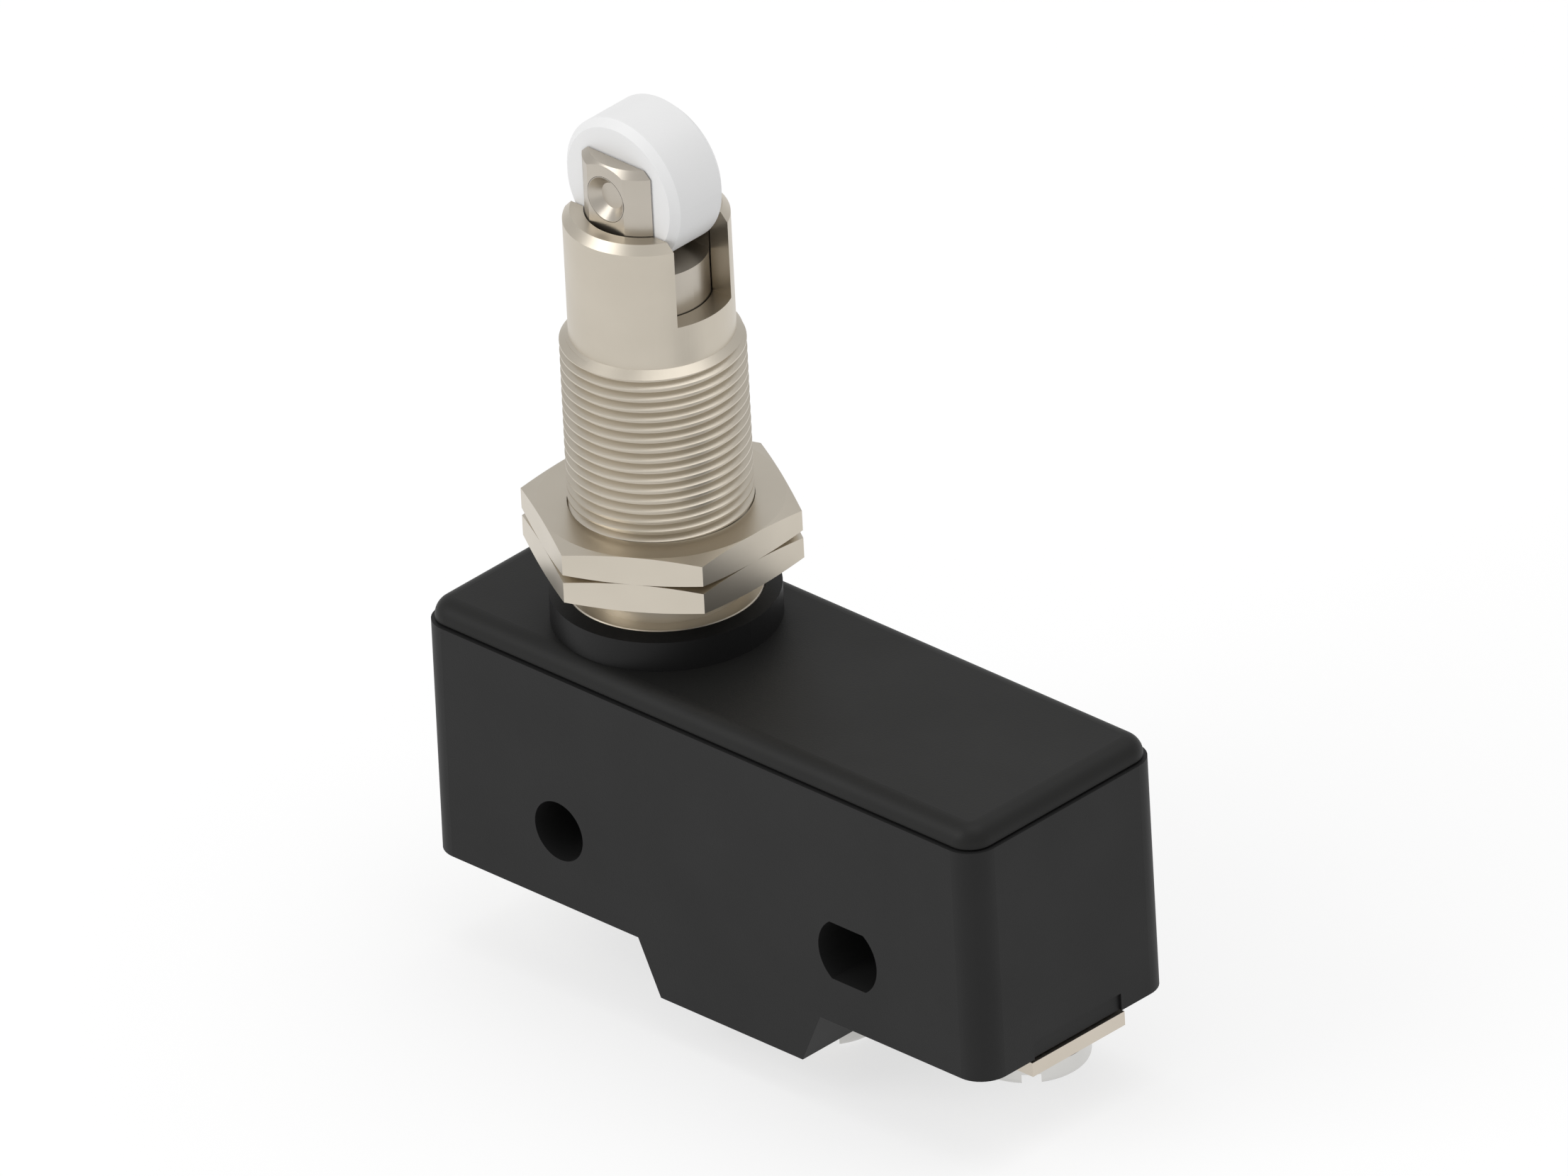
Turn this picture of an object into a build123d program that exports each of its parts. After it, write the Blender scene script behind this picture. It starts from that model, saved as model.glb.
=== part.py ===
# Snap action switch with a panel-mount roller plunger, screw terminals below.
# Millimetres. +Z runs up the plunger axis, +X along the case, away from the plunger.
# The origin is on the plunger axis, halfway up the free mounting thread.
import math
import os

from build123d import *

os.makedirs("parts", exist_ok=True)

# Case, a moulded box with a raised terminal block under its middle
case_length = 48.8
case_width = 17.45
case_height = 16.8
case_corner = 2.0
wall = 1.8
side_wall = 2.1
left_overhang = 13.76
chamber_floor_height = 9.0
block_drop = 3.8
block_bottom_length = 12.48
block_slope_run = 1.77
block_centre_x = 12.59
end_recess_width = 8.06
end_recess_height = 1.25
end_recess_depth = 0.2

# Mounting holes through the case
hole_spacing = 25.4
hole_height = 5.4
hole_radius = 2.1
round_hole_x = -2.06
oblong_radius = 2.57

# Cover, and the collar that stands on it round the bushing
cover_thickness = 1.53
cover_edge_share = 0.96
cover_inset = 0.25
groove_height = 0.16
groove_depth = 0.2
plug_depth = 0.8
collar_radius = 7.48
collar_height = 2.1
collar_crown = 0.25
seat_depth = 1.0

# Threaded bushing and its nuts
thread_radius = 6.0
barrel_radius = 5.39
bore_radius = 4.0
flange_radius = 6.43
neck_radius = 5.35
neck_height = 1.1
nut_lift = 4.65
thread_top_height = 39.4
thread_chamfer = 0.37
barrel_top_height = 48.3
barrel_chamfer_width = 0.49
barrel_chamfer_height = 0.58
slot_width = 4.97
slot_depth = 6.1
shoulder_bottom_height = 22.4
shoulder_thickness = 1.6
nut_across_flats = 16.0
nut_thickness = 2.0
nut_corner_drop = 0.285
fit_gap = 0.03

# Roller plunger
plunger_clearance = 0.08
axle_above_barrel = 2.14
roller_radius = 5.0
roller_width = 4.8
roller_chamfer = 0.5
ear_gap = 5.0
ear_flat_spread = 7.2
ear_top_above_axle = 2.51
ear_chamfer_width = 0.4
ear_chamfer_height = 0.5
roller_floor_gap = 0.22
plunger_body_bottom_height = 34.0
stem_radius = 2.5
stem_bottom_height = 21.0
stem_bore_top_height = 33.0
axle_radius = 1.6
axle_dish_depth = 0.62
axle_dish_floor_radius = 0.9
axle_rim = 0.04
axle_clearance = 0.05

# Clip that stops the plunger leaving the bushing
clip_radius = 3.4
clip_thickness = 0.6
clip_below_shoulder = 0.35
clip_groove_depth = 0.4
clip_mouth_width = 3.0

# Springs, each wire a square as large in area as the round one
wire_share = 0.886
return_wire = 0.6
return_coil_radius = 3.15
return_turns = 5
inner_wire = 0.4
inner_coil_radius = 1.15
inner_turns = 6

# Drive pin inside the stem, and the button that it presses
drive_pin_radius = 1.5
drive_pin_top_height = 25.0
button_radius = 2.0
button_top_height = 17.9
button_bottom_height = 13.85
button_flange_radius = 2.8
button_flange_thickness = 0.6
button_tip_radius = 1.3
button_clearance = 0.08
contact_touch_gap = 0.05

# Snap blade and contacts
blade_thickness = 0.25
blade_top_height = 13.8
blade_width = 6.4
blade_tail_x = -9.7
blade_tip_x = 19.2
blade_leg_width = 1.3
blade_window_start_x = -6.8
blade_window_end_x = 14.6
tongue_width = 2.4
tongue_start_x = 3.4
tongue_rise = 1.1
moving_contact_x = 17.4
contact_radius = 1.6
contact_face_above_blade = 0.45
contact_face_below_blade = 0.45
contact_gap = 0.6
fixed_contact_height = 0.7

# Terminals, one folded strip each
strip = 0.8
strip_width = 6.0
plate_thickness = 1.0
plate_width = 8.54
plate_length = 8.4
plate_gap = 0.17
screw_from_end = 4.42
slot_slack = 0.1
no_riser_x = 16.4
anchor_ledge_height = 12.4
anchor_post_x = -9.4
anchor_post_top_height = 14.9
anchor_notch_height = 0.5
tongue_post_top_height = 14.3
tongue_notch_depth = 0.25
tongue_notch_height = 0.7

# Terminal screws and toothed washers
screw_radius = 1.95
screw_length = 5.5
screw_hole_radius = 2.0
screw_pocket_radius = 2.2
screw_pocket_depth = 5.2
head_radius = 3.96
head_height = 1.5
head_edge_chamfer = 0.4
head_slot_width = 1.27
head_slot_depth = 0.8
washer_radius = 3.85
washer_thickness = 0.4
washer_teeth = 12
washer_tooth_depth = 0.5

# Radii and heights that follow from the values above
plunger_radius = bore_radius - plunger_clearance
shoulder_radius = stem_radius + plunger_clearance
stem_bore_radius = drive_pin_radius + plunger_clearance
slot_floor_height = barrel_top_height - slot_depth
axle_height = barrel_top_height + axle_above_barrel
plunger_floor_height = axle_height - roller_radius - roller_floor_gap
nut_stack_bottom = case_height + cover_thickness + nut_lift
free_thread_bottom = nut_stack_bottom + 2 * nut_thickness
case_bottom = -(free_thread_bottom + thread_top_height - thread_chamfer) / 2
case_left = -left_overhang
case_right = case_left + case_length
case_centre_x = (case_left + case_right) / 2
oblong_hole_x = round_hole_x + hole_spacing


def level(height):
    """A height above the case's lower face, as a Z coordinate."""
    return case_bottom + height


def save(builder, name):
    """Labels a finished piece and writes it as one STEP file."""
    builder.part.label = name
    export_step(builder.part, f"parts/{name}.step")


def at_height(height):
    """The horizontal plane at a height above the case's lower face."""
    return Plane.XY.offset(level(height))


# Screws stand at each end of the case and under the middle of the block
left_screw_x = case_left + screw_from_end
right_screw_x = case_right - screw_from_end
middle_screw_x = block_centre_x
left_riser_x = case_left + plate_length - strip / 2
right_riser_x = case_right - plate_length + strip / 2
block_bottom = -block_drop

# Case
with BuildPart() as case:
    with BuildSketch(at_height(0)):
        with Locations((case_centre_x, 0)):
            RectangleRounded(case_length, case_width, case_corner)
    extrude(amount=case_height)
    with BuildSketch(Plane.XZ.offset(-case_width / 2)):
        with BuildLine():
            half_top = block_bottom_length / 2 + block_slope_run
            half_bottom = block_bottom_length / 2
            Polyline(
                (block_centre_x - half_top, level(0)),
                (block_centre_x - half_bottom, level(block_bottom)),
                (block_centre_x + half_bottom, level(block_bottom)),
                (block_centre_x + half_top, level(0)),
                close=True,
            )
        make_face()
    extrude(amount=case_width)
    # Chamber for the mechanism, open to the cover
    chamber_length = case_length - 2 * wall
    chamber_width = case_width - 2 * side_wall
    with BuildSketch(at_height(case_height)):
        with Locations((case_centre_x, 0)):
            RectangleRounded(chamber_length, chamber_width, case_corner / 2)
    extrude(amount=chamber_floor_height - case_height, mode=Mode.SUBTRACT)
    # Round mounting hole, right through
    with BuildSketch(Plane.XZ.offset(-case_width / 2)):
        with Locations((round_hole_x, level(hole_height))):
            Circle(hole_radius)
    extrude(amount=case_width, mode=Mode.SUBTRACT)
    # Oblong mounting hole, a larger circle cut short above and below
    with BuildSketch(Plane.XZ.offset(-case_width / 2)):
        with Locations((oblong_hole_x, level(hole_height))):
            Circle(oblong_radius)
            Rectangle(2 * oblong_radius, 2 * hole_radius, mode=Mode.INTERSECT)
    extrude(amount=case_width, mode=Mode.SUBTRACT)
    # Slots that the terminal strips rise through
    with BuildSketch(at_height(chamber_floor_height)):
        with Locations((left_riser_x, 0), (right_riser_x, 0), (no_riser_x, 0)):
            Rectangle(strip + 2 * slot_slack, strip_width + 2 * slot_slack)
    extrude(amount=block_bottom - chamber_floor_height, mode=Mode.SUBTRACT)
    # Clearance pockets above the terminal screws
    with Locations((left_screw_x, 0, level(0)), (right_screw_x, 0, level(0))):
        Cylinder(
            screw_pocket_radius,
            screw_pocket_depth,
            align=(Align.CENTER, Align.CENTER, Align.MIN),
            mode=Mode.SUBTRACT,
        )
    with Locations((middle_screw_x, 0, level(block_bottom))):
        Cylinder(
            screw_pocket_radius,
            screw_pocket_depth,
            align=(Align.CENTER, Align.CENTER, Align.MIN),
            mode=Mode.SUBTRACT,
        )
    # Shallow recess above each end plate
    with Locations((case_left, 0, level(0)), (case_right, 0, level(0))):
        Box(
            2 * end_recess_depth,
            end_recess_width,
            2 * end_recess_height,
            mode=Mode.SUBTRACT,
        )
save(case, "case")

# The cover's lid, rounded along its upper edge
lid_thickness = cover_thickness - groove_height
with BuildPart() as lid:
    with BuildSketch(at_height(case_height + groove_height)):
        with Locations((case_centre_x, 0)):
            RectangleRounded(
                case_length - 2 * cover_inset,
                case_width - 2 * cover_inset,
                case_corner - cover_inset,
            )
    extrude(amount=lid_thickness)
    fillet(lid.edges().group_by(Axis.Z)[-1], cover_edge_share * lid_thickness)

# Cover, with a shadow groove under its lid and a plug that locates it in the case
cover_top_height = case_height + cover_thickness
seat_height = cover_top_height - seat_depth
collar_top_height = cover_top_height + collar_height
flange_top_height = collar_top_height + collar_crown
with BuildPart() as cover:
    with BuildSketch(at_height(case_height)):
        with Locations((case_centre_x, 0)):
            groove_inset = cover_inset + groove_depth
            RectangleRounded(
                case_length - 2 * groove_inset,
                case_width - 2 * groove_inset,
                case_corner - groove_inset,
            )
    extrude(amount=groove_height)
    add(lid.part)
    with BuildSketch(at_height(case_height - plug_depth)):
        with Locations((case_centre_x, 0)):
            RectangleRounded(
                chamber_length - 2 * fit_gap,
                chamber_width - 2 * fit_gap,
                case_corner / 2,
            )
    extrude(amount=plug_depth)
    # Seat for the bushing's flange, and the hole that the button comes up through
    with BuildSketch(at_height(seat_height)):
        Circle(flange_radius + fit_gap)
    extrude(amount=seat_depth, mode=Mode.SUBTRACT)
    with BuildSketch(at_height(case_height - plug_depth)):
        Circle(button_radius + button_clearance)
    extrude(amount=plug_depth + cover_thickness, mode=Mode.SUBTRACT)
save(cover, "cover")

# Collar, a ring round the bushing's flange, its top rising slightly inwards
with BuildPart() as collar:
    with BuildSketch(Plane.XZ):
        with BuildLine():
            Polyline(
                (flange_radius + fit_gap, level(cover_top_height)),
                (collar_radius, level(cover_top_height)),
                (collar_radius, level(collar_top_height)),
                (flange_radius + fit_gap, level(flange_top_height)),
                close=True,
            )
        make_face()
    revolve(axis=Axis.Z)
save(collar, "collar")

# Bushing, turned in one piece: flange, thread, barrel, bore and stop shoulder
with BuildPart() as bushing:
    with BuildSketch(Plane.XZ):
        with BuildLine():
            Polyline(
                (bore_radius, level(seat_height)),
                (flange_radius, level(seat_height)),
                (flange_radius, level(flange_top_height)),
                (neck_radius, level(flange_top_height)),
                (neck_radius, level(flange_top_height + neck_height)),
                (thread_radius, level(flange_top_height + neck_height)),
                (thread_radius, level(thread_top_height - thread_chamfer)),
                (barrel_radius, level(thread_top_height)),
                (barrel_radius, level(barrel_top_height - barrel_chamfer_height)),
                (barrel_radius - barrel_chamfer_width, level(barrel_top_height)),
                (bore_radius, level(barrel_top_height)),
                (bore_radius, level(shoulder_bottom_height + shoulder_thickness)),
                (shoulder_radius, level(shoulder_bottom_height + shoulder_thickness)),
                (shoulder_radius, level(shoulder_bottom_height)),
                (bore_radius, level(shoulder_bottom_height)),
                close=True,
            )
        make_face()
    revolve(axis=Axis.Z)
    # Slot across the barrel that the roller sinks into
    with BuildSketch(at_height(slot_floor_height)):
        Rectangle(2 * thread_radius, slot_width)
    extrude(amount=barrel_top_height - slot_floor_height, mode=Mode.SUBTRACT)
save(bushing, "bushing")


def hex_nut(bottom):
    """A thin hexagon nut whose corners are turned off by a shallow cone, top and bottom."""
    inner = nut_across_flats / 2
    corner = inner / math.cos(math.pi / 6)
    with BuildPart() as nut:
        with BuildSketch(Plane.XY.offset(bottom)):
            RegularPolygon(inner, 6, major_radius=False, rotation=30)
            Circle(thread_radius + fit_gap, mode=Mode.SUBTRACT)
        extrude(amount=nut_thickness)
        with BuildSketch(Plane.XZ):
            with BuildLine():
                Polyline(
                    (0, bottom),
                    (inner, bottom),
                    (corner, bottom + nut_corner_drop),
                    (corner, bottom + nut_thickness - nut_corner_drop),
                    (inner, bottom + nut_thickness),
                    (0, bottom + nut_thickness),
                    close=True,
                )
            make_face()
        revolve(axis=Axis.Z, mode=Mode.INTERSECT)
    return nut


save(hex_nut(level(nut_stack_bottom)), "lower_nut")
save(hex_nut(level(nut_stack_bottom + nut_thickness)), "upper_nut")

# Plunger, turned and then milled into two ears with a flat on each
ear_top_height = axle_height + ear_top_above_axle
clip_top_height = shoulder_bottom_height - clip_below_shoulder
with BuildPart() as plunger:
    with BuildSketch(Plane.XZ):
        with BuildLine():
            Polyline(
                (0, level(stem_bore_top_height)),
                (stem_bore_radius, level(stem_bore_top_height)),
                (stem_bore_radius, level(stem_bottom_height)),
                (stem_radius, level(stem_bottom_height)),
                (stem_radius, level(plunger_body_bottom_height)),
                (plunger_radius, level(plunger_body_bottom_height)),
                (plunger_radius, level(ear_top_height - ear_chamfer_height)),
                (plunger_radius - ear_chamfer_width, level(ear_top_height)),
                (0, level(ear_top_height)),
                close=True,
            )
        make_face()
    revolve(axis=Axis.Z)
    # Gap between the ears, and a flat milled on the outside of each
    with BuildSketch(at_height(plunger_floor_height)):
        Rectangle(3 * plunger_radius, ear_gap)
        with Locations((0, ear_flat_spread), (0, -ear_flat_spread)):
            Rectangle(3 * plunger_radius, ear_flat_spread)
    extrude(amount=ear_top_height - plunger_floor_height, mode=Mode.SUBTRACT)
    # Axle hole through both ears
    with BuildSketch(Plane.XZ.offset(-plunger_radius)):
        with Locations((0, level(axle_height))):
            Circle(axle_radius)
    extrude(amount=2 * plunger_radius, mode=Mode.SUBTRACT)
    # Groove for the clip
    with BuildSketch(at_height(clip_top_height)):
        Circle(stem_radius)
        Circle(stem_radius - clip_groove_depth, mode=Mode.SUBTRACT)
    extrude(amount=-clip_thickness, mode=Mode.SUBTRACT)
save(plunger, "plunger")

# Axle, a rivet whose ends are dished
with BuildPart() as roller_axle:
    with BuildSketch(Plane.XY.offset(level(axle_height))):
        with BuildLine():
            half = ear_flat_spread / 2
            Polyline(
                (0, -half + axle_dish_depth),
                (axle_dish_floor_radius, -half + axle_dish_depth),
                (axle_radius - fit_gap - axle_rim, -half),
                (axle_radius - fit_gap, -half),
                (axle_radius - fit_gap, half),
                (axle_radius - fit_gap - axle_rim, half),
                (axle_dish_floor_radius, half - axle_dish_depth),
                (0, half - axle_dish_depth),
                close=True,
            )
        make_face()
    revolve(axis=Axis((0, 0, level(axle_height)), (0, 1, 0)))
save(roller_axle, "roller_axle")

# Roller, moulded nylon with chamfered rims
with BuildPart() as roller:
    with BuildSketch(Plane.XZ.offset(-roller_width / 2)):
        with Locations((0, level(axle_height))):
            Circle(roller_radius)
    extrude(amount=roller_width)
    chamfer(roller.edges().filter_by(GeomType.CIRCLE), roller_chamfer)
    with BuildSketch(Plane.XZ.offset(-roller_width / 2)):
        with Locations((0, level(axle_height))):
            Circle(axle_radius + axle_clearance)
    extrude(amount=roller_width, mode=Mode.SUBTRACT)
save(roller, "roller")

# Retaining clip, a flat ring with a mouth
with BuildPart() as retaining_clip:
    with BuildSketch(at_height(clip_top_height - fit_gap)):
        Circle(clip_radius)
        Circle(stem_radius - clip_groove_depth + fit_gap, mode=Mode.SUBTRACT)
        with Locations((clip_radius, 0)):
            Rectangle(2 * clip_radius, clip_mouth_width, mode=Mode.SUBTRACT)
    extrude(amount=-(clip_thickness - 2 * fit_gap))
save(retaining_clip, "retaining_clip")


def coil_spring(wire, radius, turns, bottom, top):
    """A helical spring of square wire between two heights."""
    rise = top - bottom - wire
    with BuildPart() as spring:
        with BuildLine(Plane.XY.offset(bottom + wire / 2)) as path:
            Helix(rise / turns, rise, radius)
        with BuildSketch(Plane(path.line @ 0, z_dir=path.line % 0)):
            Rectangle(wire_share * wire, wire_share * wire)
        sweep(is_frenet=True)
    return spring


return_spring = coil_spring(
    return_wire,
    return_coil_radius,
    return_turns,
    level(shoulder_bottom_height + shoulder_thickness),
    level(plunger_body_bottom_height),
)
save(return_spring, "return_spring")
overtravel_spring = coil_spring(
    inner_wire,
    inner_coil_radius,
    inner_turns,
    level(drive_pin_top_height),
    level(stem_bore_top_height),
)
save(overtravel_spring, "overtravel_spring")

# Drive pin, pushed by the overtravel spring against the button
with BuildPart() as drive_pin:
    with BuildSketch(at_height(button_top_height + contact_touch_gap)):
        Circle(drive_pin_radius)
    extrude(amount=drive_pin_top_height - button_top_height - contact_touch_gap)
    chamfer(drive_pin.edges().group_by(Axis.Z)[0], drive_pin_radius / 4)
save(drive_pin, "drive_pin")

# Button, kept under the cover by its flange, with a rounded tip on the blade
button_flange_top = case_height - plug_depth - contact_touch_gap
with BuildPart() as push_button:
    with BuildSketch(Plane.XZ):
        with BuildLine():
            Polyline(
                (0, level(button_top_height)),
                (button_radius, level(button_top_height)),
                (button_radius, level(button_flange_top)),
                (button_flange_radius, level(button_flange_top)),
                (button_flange_radius, level(button_flange_top - button_flange_thickness)),
                (button_tip_radius, level(button_flange_top - button_flange_thickness)),
                (button_tip_radius, level(button_bottom_height + button_tip_radius / 2)),
                (button_tip_radius / 2, level(button_bottom_height)),
                (0, level(button_bottom_height)),
                close=True,
            )
        make_face()
    revolve(axis=Axis.Z)
save(push_button, "push_button")

# Snap blade, one stamped leaf: two tension legs and a bowed tongue between them
blade_bottom = level(blade_top_height - blade_thickness)
with BuildPart() as snap_blade:
    with BuildSketch(Plane.XY.offset(blade_bottom)):
        with Locations(((blade_tail_x + blade_tip_x) / 2, 0)):
            Rectangle(blade_tip_x - blade_tail_x, blade_width)
        with Locations(((blade_window_start_x + blade_window_end_x) / 2, 0)):
            window_length = blade_window_end_x - blade_window_start_x
            Rectangle(window_length, blade_width - 2 * blade_leg_width, mode=Mode.SUBTRACT)
        with Locations((0, 0)):
            Rectangle(2 * button_tip_radius + 1, blade_width)
        with Locations((moving_contact_x, 0)):
            Circle(contact_radius / 2, mode=Mode.SUBTRACT)
    extrude(amount=blade_thickness)
    with BuildSketch(Plane.XZ.offset(-tongue_width / 2)):
        with BuildLine():
            low_start = (tongue_start_x, blade_bottom)
            low_end = (blade_window_end_x + blade_thickness, blade_bottom)
            middle = ((low_start[0] + low_end[0]) / 2, blade_bottom - tongue_rise)
            lower = ThreePointArc(low_start, middle, low_end)
            Line(low_end, (low_end[0], blade_bottom + blade_thickness))
            upper = ThreePointArc(
                (low_end[0], blade_bottom + blade_thickness),
                (middle[0], middle[1] + blade_thickness),
                (low_start[0], blade_bottom + blade_thickness),
            )
            Line((low_start[0], blade_bottom + blade_thickness), low_start)
        make_face()
    extrude(amount=tongue_width)
save(snap_blade, "snap_blade")

# Moving contact, a double-faced rivet through the end of the blade
with BuildPart() as moving_contact:
    with BuildSketch(Plane.XY.offset(level(blade_top_height))):
        with Locations((moving_contact_x, 0)):
            Circle(contact_radius)
    extrude(amount=contact_face_above_blade)
    with BuildSketch(Plane.XY.offset(blade_bottom)):
        with Locations((moving_contact_x, 0)):
            Circle(contact_radius)
    extrude(amount=-contact_face_below_blade)
    with BuildSketch(Plane.XY.offset(blade_bottom)):
        with Locations((moving_contact_x, 0)):
            Circle(contact_radius / 2 - fit_gap)
    extrude(amount=blade_thickness)
save(moving_contact, "moving_contact")

# Fixed contacts, above and below the moving one
nc_face = level(blade_top_height + contact_face_above_blade + contact_touch_gap)
no_face = blade_bottom - contact_face_below_blade - contact_gap - contact_touch_gap
with BuildPart() as nc_contact:
    with BuildSketch(Plane.XY.offset(nc_face)):
        with Locations((moving_contact_x, 0)):
            Circle(contact_radius)
    extrude(amount=fixed_contact_height)
    chamfer(nc_contact.edges().group_by(Axis.Z)[0], fixed_contact_height / 4)
save(nc_contact, "nc_contact")
with BuildPart() as no_contact:
    with BuildSketch(Plane.XY.offset(no_face)):
        with Locations((moving_contact_x, 0)):
            Circle(contact_radius)
    extrude(amount=-fixed_contact_height)
    chamfer(no_contact.edges().group_by(Axis.Z)[-1], fixed_contact_height / 4)
save(no_contact, "no_contact")


def terminal_plate(centre_x, screw_x, top):
    """The outer plate of a terminal, tapped for its screw."""
    with BuildPart() as plate:
        with BuildSketch(Plane.XY.offset(top)):
            with Locations((centre_x, 0)):
                Rectangle(plate_length, plate_width)
            with Locations((screw_x, 0)):
                Circle(screw_hole_radius, mode=Mode.SUBTRACT)
        extrude(amount=-plate_thickness)
    return plate.part


def folded_strip(points, width):
    """A folded strip of one width, from its side profile."""
    with BuildPart() as folded:
        with BuildSketch(Plane.XZ.offset(-width / 2)):
            with BuildLine():
                Polyline(*points, close=True)
            make_face()
        extrude(amount=width)
    return folded.part


plate_top = level(-plate_gap)
middle_plate_top = level(block_bottom - plate_gap)

# Common terminal: its strip folds along the chamber to the post that the blade
# pivots in, and the other way to the post that the tongue bears on
ledge_top = level(anchor_ledge_height)
riser_left = left_riser_x - strip / 2
riser_right = left_riser_x + strip / 2
post_left = anchor_post_x - strip
tongue_post_right = tongue_start_x + tongue_notch_depth - contact_touch_gap
tongue_post_left = tongue_post_right - strip
with BuildPart() as common_terminal:
    add(terminal_plate(case_left + plate_length / 2, left_screw_x, plate_top))
    add(
        folded_strip(
            [
                (riser_left, plate_top),
                (riser_right, plate_top),
                (riser_right, ledge_top - strip),
                (tongue_post_right, ledge_top - strip),
                (tongue_post_right, ledge_top),
                (anchor_post_x, ledge_top),
                (anchor_post_x, level(anchor_post_top_height)),
                (post_left, level(anchor_post_top_height)),
                (post_left, ledge_top - strip),
                (riser_left, ledge_top - strip),
            ],
            strip_width,
        )
    )
    add(
        folded_strip(
            [
                (tongue_post_left, ledge_top),
                (tongue_post_right, ledge_top),
                (tongue_post_right, level(tongue_post_top_height)),
                (tongue_post_left, level(tongue_post_top_height)),
            ],
            tongue_width,
        )
    )
    # Notches that hold the blade's tail and the tongue's end
    notch_middle = level(blade_top_height) - blade_thickness / 2
    with Locations((anchor_post_x, 0, notch_middle)):
        Box(strip, strip_width, anchor_notch_height, mode=Mode.SUBTRACT)
    with Locations((tongue_post_right, 0, level(blade_top_height) + contact_touch_gap)):
        Box(
            2 * tongue_notch_depth,
            tongue_width,
            tongue_notch_height,
            align=(Align.CENTER, Align.CENTER, Align.MAX),
            mode=Mode.SUBTRACT,
        )
save(common_terminal, "common_terminal")

# Normally closed terminal: its strip reaches over the moving contact
nc_riser_left = right_riser_x - strip / 2
nc_riser_right = right_riser_x + strip / 2
arm_end = moving_contact_x - contact_radius
arm_bottom = nc_face + fixed_contact_height
with BuildPart() as nc_terminal:
    add(terminal_plate(case_right - plate_length / 2, right_screw_x, plate_top))
    add(
        folded_strip(
            [
                (nc_riser_right, plate_top),
                (nc_riser_right, arm_bottom + strip),
                (arm_end, arm_bottom + strip),
                (arm_end, arm_bottom),
                (nc_riser_left, arm_bottom),
                (nc_riser_left, plate_top),
            ],
            strip_width,
        )
    )
save(nc_terminal, "nc_terminal")

# Normally open terminal: its strip rises from the block to below the moving contact
no_riser_left = no_riser_x - strip / 2
no_riser_right = no_riser_x + strip / 2
shelf_end = moving_contact_x + contact_radius
shelf_top = no_face - fixed_contact_height
with BuildPart() as no_terminal:
    add(terminal_plate(middle_screw_x, middle_screw_x, middle_plate_top))
    add(
        folded_strip(
            [
                (no_riser_left, middle_plate_top),
                (no_riser_left, shelf_top),
                (shelf_end, shelf_top),
                (shelf_end, shelf_top - strip),
                (no_riser_right, shelf_top - strip),
                (no_riser_right, middle_plate_top),
            ],
            strip_width,
        )
    )
save(no_terminal, "no_terminal")


def terminal_screw(x, plate_bottom):
    """A slotted cheese-head screw driven up into its terminal. Its slot faces the front corner."""
    head_top = plate_bottom - washer_thickness
    with BuildPart() as screw:
        with BuildSketch(Plane.XY.offset(head_top)):
            with Locations((x, 0)):
                Circle(head_radius)
        extrude(amount=-head_height)
        chamfer(screw.edges().group_by(Axis.Z)[0], head_edge_chamfer)
        with BuildSketch(Plane.XY.offset(head_top - head_height)):
            with Locations(Location((x, 0), -45)):
                Rectangle(3 * head_radius, head_slot_width)
        extrude(amount=head_slot_depth, mode=Mode.SUBTRACT)
        with BuildSketch(Plane.XY.offset(head_top)):
            with Locations((x, 0)):
                Circle(screw_radius)
        extrude(amount=screw_length)
        chamfer(screw.edges().group_by(Axis.Z)[-1], screw_radius / 4)
    return screw


def toothed_washer(x, plate_bottom):
    """A thin lock washer with teeth round its rim."""
    with BuildPart() as washer:
        with BuildSketch(Plane.XY.offset(plate_bottom - fit_gap)):
            with Locations((x, 0)):
                Circle(washer_radius)
                Circle(screw_hole_radius + fit_gap, mode=Mode.SUBTRACT)
                with PolarLocations(washer_radius, washer_teeth):
                    Rectangle(2 * washer_tooth_depth, washer_tooth_depth, mode=Mode.SUBTRACT)
        extrude(amount=-(washer_thickness - 2 * fit_gap))
    return washer


for name, x, plate_bottom in (
    ("common", left_screw_x, plate_top - plate_thickness),
    ("nc", right_screw_x, plate_top - plate_thickness),
    ("no", middle_screw_x, middle_plate_top - plate_thickness),
):
    save(terminal_screw(x, plate_bottom), f"{name}_screw")
    save(toothed_washer(x, plate_bottom), f"{name}_washer")
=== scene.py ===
import math

import bpy
from mathutils import Matrix, Vector


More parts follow.
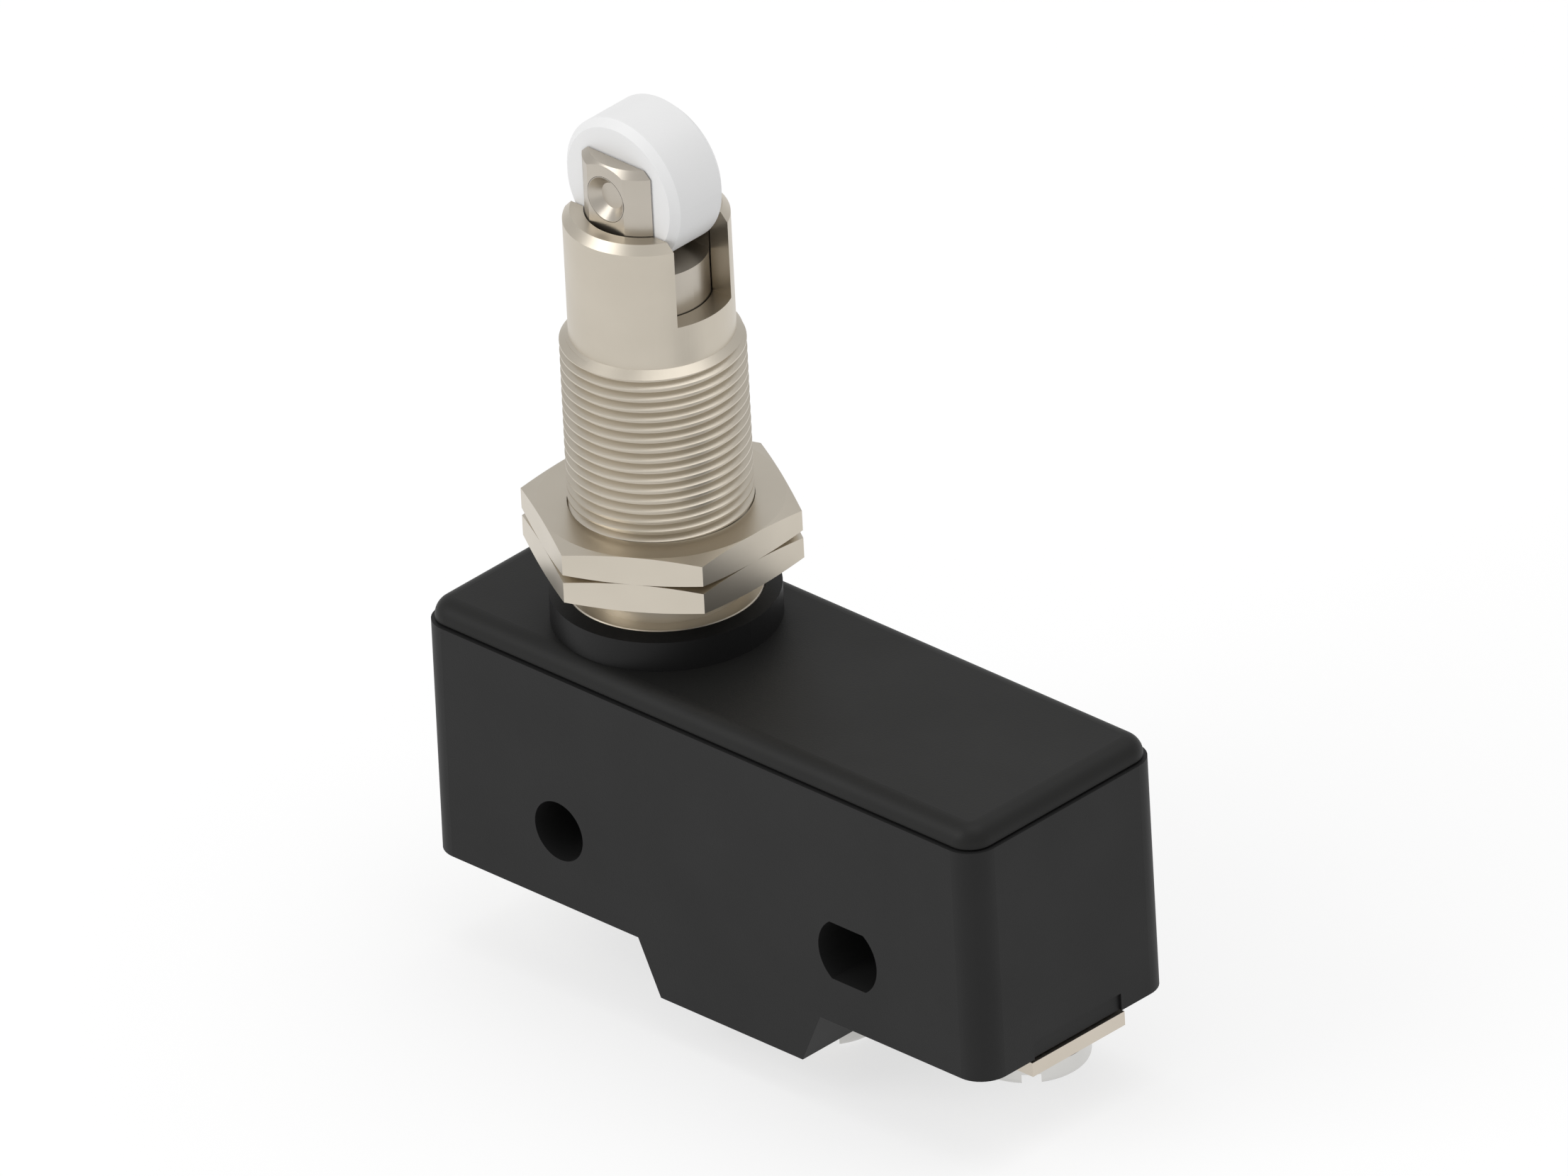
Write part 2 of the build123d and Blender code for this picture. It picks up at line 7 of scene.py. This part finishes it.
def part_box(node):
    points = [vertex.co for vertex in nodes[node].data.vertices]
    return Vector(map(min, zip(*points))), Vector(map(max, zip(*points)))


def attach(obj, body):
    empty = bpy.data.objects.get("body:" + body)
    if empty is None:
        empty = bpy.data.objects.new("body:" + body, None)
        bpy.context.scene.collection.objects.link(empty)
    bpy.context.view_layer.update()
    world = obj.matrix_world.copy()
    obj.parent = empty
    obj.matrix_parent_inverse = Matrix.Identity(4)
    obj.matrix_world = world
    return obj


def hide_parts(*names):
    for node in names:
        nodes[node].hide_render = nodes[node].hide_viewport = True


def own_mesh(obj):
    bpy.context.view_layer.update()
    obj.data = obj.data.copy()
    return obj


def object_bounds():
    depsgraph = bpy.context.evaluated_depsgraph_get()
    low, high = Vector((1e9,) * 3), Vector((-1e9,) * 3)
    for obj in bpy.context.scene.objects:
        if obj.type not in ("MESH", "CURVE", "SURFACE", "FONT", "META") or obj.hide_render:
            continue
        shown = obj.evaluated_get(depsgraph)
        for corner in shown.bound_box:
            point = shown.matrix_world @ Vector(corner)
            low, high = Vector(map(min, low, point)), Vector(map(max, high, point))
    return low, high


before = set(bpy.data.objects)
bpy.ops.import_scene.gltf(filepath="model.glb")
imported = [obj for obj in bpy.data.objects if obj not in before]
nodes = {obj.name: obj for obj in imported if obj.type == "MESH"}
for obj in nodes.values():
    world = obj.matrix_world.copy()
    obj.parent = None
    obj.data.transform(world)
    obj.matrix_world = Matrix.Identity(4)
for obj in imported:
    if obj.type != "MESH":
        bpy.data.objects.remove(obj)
solid_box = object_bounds()
mm = 0.001

# The camera looks down on the front right corner of the case, as a parallel
# projection. It is turned a little about its own axis, so the case leans left.
view_azimuth = math.radians(45)
view_elevation = math.radians(30)
view_roll = math.radians(-3)
view_width = 0.100
view_distance = 0.4
view_centre = Vector((10.64 * mm, 0, -8.955 * mm))
view_far_limit = 10
view_back = Vector(
    (
        math.cos(view_elevation) * math.sin(view_azimuth),
        -math.cos(view_elevation) * math.cos(view_azimuth),
        math.sin(view_elevation),
    )
)
bpy.ops.object.camera_add(location=view_centre + view_distance * view_back)
camera = bpy.context.object
camera.data.type = "ORTHO"
camera.data.ortho_scale = view_width
camera.data.clip_end = view_far_limit
camera.rotation_mode = "QUATERNION"
camera.rotation_quaternion = (
    view_back.to_track_quat("Z", "Y").to_matrix() @ Matrix.Rotation(view_roll, 3, "Z")
).to_quaternion()
bpy.context.scene.camera = camera
bpy.context.scene.view_settings.view_transform = "Standard"


def linear(colour):
    """An sRGB hex colour as the linear values that a shader takes."""
    channels = [int(colour[i : i + 2], 16) / 255 for i in (1, 3, 5)]
    return [c / 12.92 if c <= 0.04045 else ((c + 0.055) / 1.055) ** 2.4 for c in channels] + [1]


def add_node(material, kind, settings=None, **inputs):
    """Adds a shader node. Settings are its own properties, and inputs are values or other outputs."""
    tree = material.node_tree
    made = tree.nodes.new(kind)
    for name, value in (settings or {}).items():
        setattr(made, name, value)
    for name, value in inputs.items():
        socket = made.inputs[name.replace("_", " ")]
        if isinstance(value, bpy.types.NodeSocket):
            tree.links.new(value, socket)
        else:
            socket.default_value = value
    return made


def new_material(name):
    """An empty node material, with its output node."""
    material = bpy.data.materials.new(name)
    material.use_nodes = True
    material.node_tree.nodes.clear()
    output = add_node(material, "ShaderNodeOutputMaterial")
    return material, output.inputs["Surface"]


def clouded_tint(material, place, cloud_size, colour, shade):
    """Faint clouds between two close colours. Gives the cloud value and the colour."""
    clouds = add_node(
        material, "ShaderNodeTexNoise", Vector=place, Scale=1 / cloud_size, Detail=3.0
    ).outputs["Fac"]
    tint = add_node(material, "ShaderNodeMix", {"data_type": "RGBA"}, Factor=clouds)
    tint.inputs[6].default_value = linear(colour)
    tint.inputs[7].default_value = linear(shade)
    return clouds, tint.outputs[2]


def uneven(material, clouds, roughness, spread):
    """A roughness that wanders with the clouds, by the spread to either side."""
    rough = add_node(material, "ShaderNodeMapRange", Value=clouds)
    rough.inputs["To Min"].default_value = roughness - spread
    rough.inputs["To Max"].default_value = roughness + spread
    return rough.outputs[0]


def dress(node, material):
    """Gives a piece of the frame its material."""
    nodes[node].data.materials.clear()
    nodes[node].data.materials.append(material)


# The sweep that the switch stands on, a sheet of matt white card. It shows as
# plain white, and keeps a soft grey shadow under the switch.
card_size = 3.0
card_colour = "#f2f2f2"
card_glow = 0.6
glow_strength = 1.12
card_clearance = 0.01 * mm
floor_height = solid_box[0][2] - card_clearance
bpy.ops.mesh.primitive_plane_add(size=card_size, location=(0, 0, floor_height))
card = bpy.context.object
card.name = "card"
card_white, surface = new_material("white_card")
rays = add_node(card_white, "ShaderNodeLightPath")
seen = add_node(card_white, "ShaderNodeMath", {"operation": "MAXIMUM"})
card_white.node_tree.links.new(rays.outputs["Is Camera Ray"], seen.inputs[0])
card_white.node_tree.links.new(rays.outputs["Is Glossy Ray"], seen.inputs[1])
glow_share = add_node(card_white, "ShaderNodeMath", {"operation": "MULTIPLY"})
card_white.node_tree.links.new(seen.outputs[0], glow_share.inputs[0])
glow_share.inputs[1].default_value = card_glow
paper = add_node(card_white, "ShaderNodeBsdfDiffuse", Color=linear(card_colour))
glow = add_node(card_white, "ShaderNodeEmission", Color=(1, 1, 1, 1), Strength=glow_strength)
blend = add_node(card_white, "ShaderNodeMixShader", Fac=glow_share.outputs[0])
card_white.node_tree.links.new(paper.outputs[0], blend.inputs[1])
card_white.node_tree.links.new(glow.outputs[0], blend.inputs[2])
card_white.node_tree.links.new(blend.outputs[0], surface)
card.data.materials.append(card_white)

# The room's light, an even grey sky with two broad soft lamps. The metal mirrors a
# slightly brighter sky than the one that lights the room.
sky_colour = "#d8d8d8"
sky_strength = 0.88
sky_mirrored = 1.0
world = bpy.data.worlds.new("soft_room")
bpy.context.scene.world = world
world.use_nodes = True
world.node_tree.nodes["Background"].inputs["Color"].default_value = linear(sky_colour)
sky_rays = add_node(world, "ShaderNodeLightPath")
strength = add_node(world, "ShaderNodeMapRange", Value=sky_rays.outputs["Is Glossy Ray"])
strength.inputs["To Min"].default_value = sky_strength
strength.inputs["To Max"].default_value = sky_mirrored
background = world.node_tree.nodes["Background"]
world.node_tree.links.new(strength.outputs[0], background.inputs["Strength"])
for name, place, size, power in (
    ("front_left_lamp", (-0.35, -0.75, 0.55), 0.6, 2.9),
    ("overhead_lamp", (0.15, 0.15, 0.9), 0.8, 2.4),
):
    bpy.ops.object.light_add(type="AREA", location=place)
    lamp = bpy.context.object
    lamp.name = name
    lamp.data.size = size
    lamp.data.energy = power
    lamp.rotation_mode = "QUATERNION"
    lamp.rotation_quaternion = Vector(place).to_track_quat("Z", "Y")

# Case, an open box compression moulded in black phenolic, with a fine matt skin.
# The mounting holes run through it, and a block below carries the middle terminal.
case_colour = "#202020"
case_colour_deep = "#1c1c1c"
skin_grain = 0.12 * mm
mottle_size = 6.0 * mm
skin_bump = 0.01 * mm
skin_strength = 0.6
skin_unevenness = 0.04
case_roughness = 0.55
cover_roughness = 0.5
phenolic_gloss = 0.24
acetal_gloss = 0.5


def moulded_plastic(name, colour, deep_colour, roughness, gloss=phenolic_gloss):
    """A matt moulding: faint cloudy mottle in the colour, and a fine grain from the mould's skin."""
    material, surface = new_material(name)
    place = add_node(material, "ShaderNodeTexCoord").outputs["Object"]
    clouds, tint = clouded_tint(material, place, mottle_size, colour, deep_colour)
    grain = add_node(
        material, "ShaderNodeTexNoise", Vector=place, Scale=1 / skin_grain, Detail=2.0
    )
    relief = add_node(
        material,
        "ShaderNodeBump",
        Height=grain.outputs["Fac"],
        Distance=skin_bump,
        Strength=skin_strength,
    )
    skin = add_node(
        material,
        "ShaderNodeBsdfPrincipled",
        Base_Color=tint,
        Roughness=uneven(material, clouds, roughness, skin_unevenness),
        Normal=relief.outputs["Normal"],
    )
    skin.inputs["Specular IOR Level"].default_value = gloss
    material.node_tree.links.new(skin.outputs[0], surface)
    return material


dress("case", moulded_plastic("phenolic_case", case_colour, case_colour_deep, case_roughness))

# Cover, a lid moulded in the same phenolic and pressed into the case, its edge
# rounded over down to a fine shadow line above the case's rim.
# The cover's colours are a little darker than the case's, though it is the same phenolic: painted
# shade on the top of the switch.
cover_painted_shade_colour = "#1c1c1b"
cover_painted_shade_deep = "#181817"
dress("cover", moulded_plastic("phenolic_cover_painted_shade", cover_painted_shade_colour, cover_painted_shade_deep, cover_roughness))

# Collar, a black ring round the foot of the bushing, a little darker than the cover: painted shade
# where it sits at the bushing's foot.
collar_painted_shade_colour = "#161616"
collar_painted_shade_deep = "#131313"
dress(
    "collar",
    moulded_plastic("phenolic_collar_painted_shade", collar_painted_shade_colour, collar_painted_shade_deep, cover_roughness),
)

# Bushing, turned in one piece from brass and nickel plated: a flange held in the
# collar, a fine M12 thread for the panel nuts, and a smooth barrel with a cross slot.
nickel_colour = "#cec6b8"
nickel_shade = "#c5bdaf"
turning_mark = 0.09 * mm
turning_bump = 0.004 * mm
ring_stretch = 0.02
plating_clouds = 4 * mm
plating_unevenness = 0.03
lowest_screw_drop = 6.87 * mm
case_floor = solid_box[0][2] + lowest_screw_drop
thread_pitch = 0.75 * mm
thread_crest = 6.0 * mm
thread_depth = 0.42 * mm
thread_low = case_floor + 21.4 * mm
thread_high = case_floor + 39.42 * mm
thread_lead = 0.62 * mm
neck_radius = 5.35 * mm
neck_low = case_floor + 20.68 * mm
thread_start = case_floor + 21.78 * mm
flange_radius = 6.43 * mm
flange_low = case_floor + 17.33 * mm
flange_edge = 0.12 * mm
barrel_radius = 5.39 * mm
barrel_high = case_floor + 48.3 * mm
barrel_chamfer = (0.49 * mm, 0.58 * mm)
bore_radius = 4.0 * mm
bore_low = case_floor + 14.0 * mm
shoulder_radius = 2.58 * mm
shoulder_low = case_floor + 22.4 * mm
shoulder_high = case_floor + 24.0 * mm
slot_width = 4.97 * mm
slot_floor = case_floor + 42.2 * mm
ring_steps = 128
slot_reach = 20 * mm


def turned_metal(name, colour, shade, roughness, mark_strength):
    """Plated metal off a lathe: fine rings round Z, and a slight unevenness in the plating."""
    material, surface = new_material(name)
    place = add_node(material, "ShaderNodeTexCoord").outputs["Object"]
    clouds, tint = clouded_tint(material, place, plating_clouds, colour, shade)
    stretched = add_node(material, "ShaderNodeMapping", Vector=place)
    stretched.inputs["Scale"].default_value = (ring_stretch, ring_stretch, 1)
    rings = add_node(
        material,
        "ShaderNodeTexNoise",
        Vector=stretched.outputs[0],
        Scale=1 / turning_mark,
        Detail=2.0,
    )
    relief = add_node(
        material,
        "ShaderNodeBump",
        Height=rings.outputs["Fac"],
        Distance=turning_bump,
        Strength=mark_strength,
    )
    metal = add_node(
        material,
        "ShaderNodeBsdfPrincipled",
        Base_Color=tint,
        Roughness=uneven(material, clouds, roughness, plating_unevenness),
        Metallic=1.0,
        Normal=relief.outputs["Normal"],
    )
    material.node_tree.links.new(metal.outputs[0], surface)
    return material


def deselect():
    """Leaves edit mode with nothing selected."""
    if bpy.context.object and bpy.context.object.mode != "OBJECT":
        bpy.ops.object.mode_set(mode="OBJECT")
    bpy.ops.object.select_all(action="DESELECT")


def draw_profile(name, points):
    """A line of edges in the XZ plane, drawn point by point from its first one."""
    deselect()
    bpy.ops.mesh.primitive_plane_add(size=mm, location=(0, 0, 0))
    piece = bpy.context.object
    piece.name = name
    bpy.ops.object.mode_set(mode="EDIT")
    bpy.ops.mesh.merge(type="CENTER")
    bpy.ops.transform.translate(value=(points[0][0], 0, points[0][1]))
    for before, after in zip(points, points[1:]):
        step = (after[0] - before[0], 0, after[1] - before[1])
        bpy.ops.mesh.extrude_region_move(TRANSFORM_OT_translate={"value": step})
    return piece


def tidy_mesh():
    """In edit mode: closes doubles and turns every face outwards."""
    bpy.ops.mesh.select_all(action="SELECT")
    bpy.ops.mesh.remove_doubles(threshold=0.001 * mm)
    bpy.ops.mesh.normals_make_consistent(inside=False)
    bpy.ops.object.mode_set(mode="OBJECT")


def turn(name, points, steps=ring_steps):
    """A solid turned about Z from a closed or axis-to-axis outline of radius and height."""
    piece = draw_profile(name, points)
    bpy.ops.mesh.select_all(action="SELECT")
    bpy.ops.mesh.spin(
        steps=steps, angle=math.tau, center=(0, 0, 0), axis=(0, 0, 1), use_normal_flip=False
    )
    tidy_mesh()
    return piece


def wind(name, points, lift, turns, steps):
    """A line of edges wound up about Z, one lift higher at each turn."""
    piece = draw_profile(name, points)
    bpy.ops.object.mode_set(mode="OBJECT")
    winding = piece.modifiers.new("winding", "SCREW")
    winding.axis = "Z"
    winding.angle = math.tau
    winding.screw_offset = lift
    winding.iterations = turns
    winding.steps = steps
    winding.render_steps = steps
    winding.use_merge_vertices = True
    winding.merge_threshold = 0.001 * mm
    bpy.ops.object.modifier_apply(modifier="winding")
    return piece


def combine(piece, other, operation):
    """Joins, cuts or trims a piece by another, which is used up."""
    deselect()
    piece.select_set(True)
    bpy.context.view_layer.objects.active = piece
    change = piece.modifiers.new("change", "BOOLEAN")
    change.operation = operation
    change.object = other
    change.solver = "EXACT"
    bpy.ops.object.modifier_apply(modifier="change")
    bpy.data.objects.remove(other)


def cut_level(height, keep_above):
    """In edit mode: cuts the mesh at a height, drops one side and closes the cut."""
    bpy.ops.mesh.select_all(action="SELECT")
    bpy.ops.mesh.bisect(
        plane_co=(0, 0, height),
        plane_no=(0, 0, 1),
        use_fill=True,
        clear_inner=keep_above,
        clear_outer=not keep_above,
    )


def cut_slot(piece, width, low, high, angle=0):
    """Cuts a straight slot across a piece's middle, between two heights."""
    deselect()
    bpy.ops.mesh.primitive_cube_add(size=1)
    cutter = bpy.context.object
    cutter.data.transform(
        Matrix.Translation((0, 0, (low + high) / 2))
        @ Matrix.Rotation(math.radians(angle), 4, "Z")
        @ Matrix.Diagonal((slot_reach, width, high - low, 1))
    )
    combine(piece, cutter, "DIFFERENCE")


def smooth(piece, degrees=30):
    """Smooth shading, with edges sharper than the angle kept crisp."""
    deselect()
    piece.select_set(True)
    bpy.context.view_layer.objects.active = piece
    bpy.ops.object.shade_smooth_by_angle(angle=math.radians(degrees))


def finish_piece(piece, material, slot, body, *replaced):
    """Gives a new piece its material, and puts it on its body in place of its solids. The slot given
    to it is not used.
    """
    piece.data.materials.clear()
    piece.data.materials.append(material)
    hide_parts(*replaced)
    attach(piece, body)


# One pitch of a thread's outline, as shares of the depth outwards and of the pitch upwards
thread_outline = (
    (0, 0),
    (0, 0.15),
    (0.85, 0.44),
    (1, 0.5),
    (1, 0.65),
    (0.85, 0.71),
    (0, 1),
)


def threaded_rod(name, crest, depth, pitch, low, high, steps):
    """A closed rod with a right-hand thread between two heights, its crests slightly flat."""
    root = crest - depth
    start = low - 2 * pitch
    ridge = [(root + out * depth, start + up * pitch) for out, up in thread_outline]
    turns = math.ceil((high - low) / pitch) + 4
    rod = wind(name, ridge, pitch, turns, steps)
    bpy.ops.object.mode_set(mode="EDIT")
    cut_level(low, True)
    cut_level(high, False)
    tidy_mesh()
    return rod


# The thread is trimmed to a run-in at each end by an outline that clears its crests
crest_clearance = 0.1 * mm
trim_low = thread_low + 0.05 * mm
trim_high = thread_high - 0.03 * mm
run_in = 0.35 * mm
thread_root_overlap = 0.05 * mm
barrel_low = thread_high - 4 * mm
thread_steps = 96
bushing = threaded_rod(
    "threaded_bushing",
    thread_crest,
    thread_depth,
    thread_pitch,
    thread_low,
    thread_high,
    thread_steps,
)
envelope = turn(
    "envelope",
    [
        (0, trim_low),
        (neck_radius, trim_low),
        (neck_radius, thread_start),
        (thread_crest + crest_clearance, thread_start + run_in),
        (thread_crest + crest_clearance, thread_high - thread_lead),
        (barrel_radius - thread_root_overlap, trim_high),
        (0, trim_high),
    ],
)
combine(bushing, envelope, "INTERSECT")
body = turn(
    "body",
    [
        (0, flange_low),
        (flange_radius, flange_low),
        (flange_radius, neck_low - flange_edge),
        (flange_radius - flange_edge, neck_low),
        (neck_radius, neck_low),
        (neck_radius, barrel_low),
        (barrel_radius, barrel_low),
        (barrel_radius, barrel_high - barrel_chamfer[1]),
        (barrel_radius - barrel_chamfer[0], barrel_high),
        (0, barrel_high),
    ],
)
combine(bushing, body, "UNION")
bore = turn(
    "bore",
    [
        (0, bore_low),
        (bore_radius, bore_low),
        (bore_radius, shoulder_low),
        (shoulder_radius, shoulder_low),
        (shoulder_radius, shoulder_high),
        (bore_radius, shoulder_high),
        (bore_radius, barrel_high + mm),
        (0, barrel_high + mm),
    ],
)
combine(bushing, bore, "DIFFERENCE")
cut_slot(bushing, slot_width, slot_floor, barrel_high + mm)
smooth(bushing)
nickel = turned_metal("nickel_plated_brass", nickel_colour, nickel_shade, 0.36, 0.5)
finish_piece(bushing, nickel, "plated_bushing", "housing", "bushing")

# Panel nuts, a pair of thin hexagons cut from bar, their corners turned off, plated
# like the bushing. The rings left by facing them run round the thread.
nut_colour = "#d2cabc"
nut_shade = "#cac2b4"
nut_crisp_angle = 8  # under the 13 degrees of the turned-off corners
plated_nut = turned_metal("nickel_plated_nut", nut_colour, nut_shade, 0.33, 0.25)
for name in ("lower_nut", "upper_nut"):
    dress(name, plated_nut)
    crisp = nodes[name].modifiers.new("crisp_corners", "EDGE_SPLIT")
    crisp.split_angle = math.radians(nut_crisp_angle)
    nodes[name].modifiers.new("flat_faces", "WEIGHTED_NORMAL")

# Plunger and its roller's axle, turned from stainless steel, the plunger then milled
# into two ears. The axle's dished ends are spread in the ears' holes.
steel_colour = "#c5beb3"
steel_shade = "#b9b2a7"
plunger_steel = turned_metal("turned_plunger", steel_colour, steel_shade, 0.34, 0.4)
for name in ("plunger", "roller_axle", "drive_pin"):
    dress(name, plunger_steel)

# Roller, a white acetal wheel with bevelled rims, slightly waxy.
roller_colour = "#f0f0f0"
roller_shade = "#ebebeb"
dress("roller", moulded_plastic("white_acetal", roller_colour, roller_shade, 0.42, acetal_gloss))

# Springs, wound from round music wire: one returns the plunger, the other, inside
# its stem, lets it travel on after the switch has worked.
spring_colour = "#b9babb"
spring_shade = "#a9abad"
wire_sides = 12
coil_steps = 36
wire_smoothing = 50
spring_steel = turned_metal("spring_wire", spring_colour, spring_shade, 0.22, 0.1)


def coil(name, wire, radius, turns, low, high):
    """A closed coil of round wire between two heights."""
    rise = (high - low - wire) / turns
    ring = [
        (
            radius + wire / 2 * math.cos(math.tau * i / wire_sides),
            low + wire / 2 + wire / 2 * math.sin(math.tau * i / wire_sides),
        )
        for i in range(wire_sides)
    ]
    piece = wind(name, ring + ring[:1], rise, turns, coil_steps)
    bpy.ops.object.mode_set(mode="EDIT")
    bpy.ops.mesh.select_all(action="SELECT")
    bpy.ops.mesh.remove_doubles(threshold=0.0005 * mm)
    bpy.ops.mesh.select_all(action="DESELECT")
    bpy.ops.mesh.select_non_manifold(extend=False)
    bpy.ops.mesh.fill()
    tidy_mesh()
    smooth(piece, wire_smoothing)
    return piece


return_wire, return_radius, return_turns = 0.6 * mm, 3.15 * mm, 6
return_low, return_high = (corner[2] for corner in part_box("return_spring"))
return_coil = coil(
    "return_coil", return_wire, return_radius, return_turns, return_low, return_high
)
finish_piece(return_coil, spring_steel, "spring_steel", "housing", "return_spring")
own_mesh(return_coil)
inner_wire, inner_radius, inner_turns = 0.4 * mm, 1.15 * mm, 8
inner_low, inner_high = (corner[2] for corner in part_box("overtravel_spring"))
inner_coil = coil("overtravel_coil", inner_wire, inner_radius, inner_turns, inner_low, inner_high)
finish_piece(inner_coil, spring_steel, "spring_steel", "push_button", "overtravel_spring")
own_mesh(inner_coil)
dress("retaining_clip", spring_steel)

# Push button, moulded in brown phenolic, that carries the drive pin's push to the blade.
button_colour = "#5a2a1c"
button_shade = "#4c2418"
dress("push_button", moulded_plastic("brown_phenolic", button_colour, button_shade, 0.45))

# Snap blade, one leaf stamped from copper alloy strip, its tongue bowed to snap over.
blade_colour = "#c88a5c"
blade_shade = "#b97c50"
dress("snap_blade", turned_metal("blade_copper", blade_colour, blade_shade, 0.25, 0.15))

# Contacts, silver rivets with flat faces.
silver_colour = "#e4e4e2"
silver_shade = "#d6d6d4"
silver = turned_metal("contact_silver", silver_colour, silver_shade, 0.2, 0.1)
for name in ("moving_contact", "nc_contact", "no_contact"):
    dress(name, silver)

# Terminals, folded from brass strip and nickel plated like the bushing.
strip_colour = "#d4cbbe"
strip_shade = "#cac1b3"
plated_strip = turned_metal("plated_terminal_strip", strip_colour, strip_shade, 0.34, 0.15)
for name in ("common_terminal", "nc_terminal", "no_terminal"):
    dress(name, plated_strip)

# Terminal screws, bright plated steel: a cheese head with its edge rolled over and a
# slot towards the front corner, on a threaded shank. One is made, and two are its copies.
screw_colour = "#d8d7d4"
screw_shade = "#cccbc8"
head_radius = 3.96 * mm
head_height = 1.5 * mm
head_edge = 0.5 * mm
head_edge_steps = 5
head_slot_width = 1.27 * mm
head_slot_depth = 0.8 * mm
head_slot_angle = -45
shank_crest = 1.95 * mm
shank_depth = 0.36 * mm
shank_pitch = 0.7 * mm
shank_lead = 0.49 * mm
shank_overlap = 0.1 * mm
shank_steps = 48
bright_steel = turned_metal("bright_plated_steel", screw_colour, screw_shade, 0.3, 0.3)
first_low, first_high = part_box("common_screw")
screw_low, screw_high = first_low[2], first_high[2]
head_top = screw_low + head_height
screw = threaded_rod(
    "common_terminal_screw",
    shank_crest,
    shank_depth,
    shank_pitch,
    head_top - shank_overlap,
    screw_high,
    shank_steps,
)
point = turn(
    "point",
    [
        (0, screw_low),
        (shank_crest + crest_clearance, screw_low),
        (shank_crest + crest_clearance, screw_high - shank_lead),
        (shank_crest - shank_lead, screw_high),
        (0, screw_high),
    ],
    shank_steps,
)
combine(screw, point, "INTERSECT")
rolled_edge = [
    (
        head_radius - head_edge + head_edge * math.sin(math.pi / 2 * i / head_edge_steps),
        screw_low + head_edge - head_edge * math.cos(math.pi / 2 * i / head_edge_steps),
    )
    for i in range(head_edge_steps + 1)
]
head = turn("head", [(0, screw_low)] + rolled_edge + [(head_radius, head_top), (0, head_top)])
combine(screw, head, "UNION")
cut_slot(screw, head_slot_width, screw_low - mm, screw_low + head_slot_depth, head_slot_angle)
smooth(screw)
for name in ("common", "nc", "no"):
    low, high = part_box(f"{name}_screw")
    fitted = screw if name == "common" else screw.copy()
    if name != "common":
        bpy.context.collection.objects.link(fitted)
    fitted.name = f"{name}_terminal_screw"
    fitted.location = ((low[0] + high[0]) / 2, 0, low[2] - screw_low)
    finish_piece(fitted, bright_steel, "plated_screw", f"{name}_screw", f"{name}_screw")
    dress(f"{name}_washer", bright_steel)
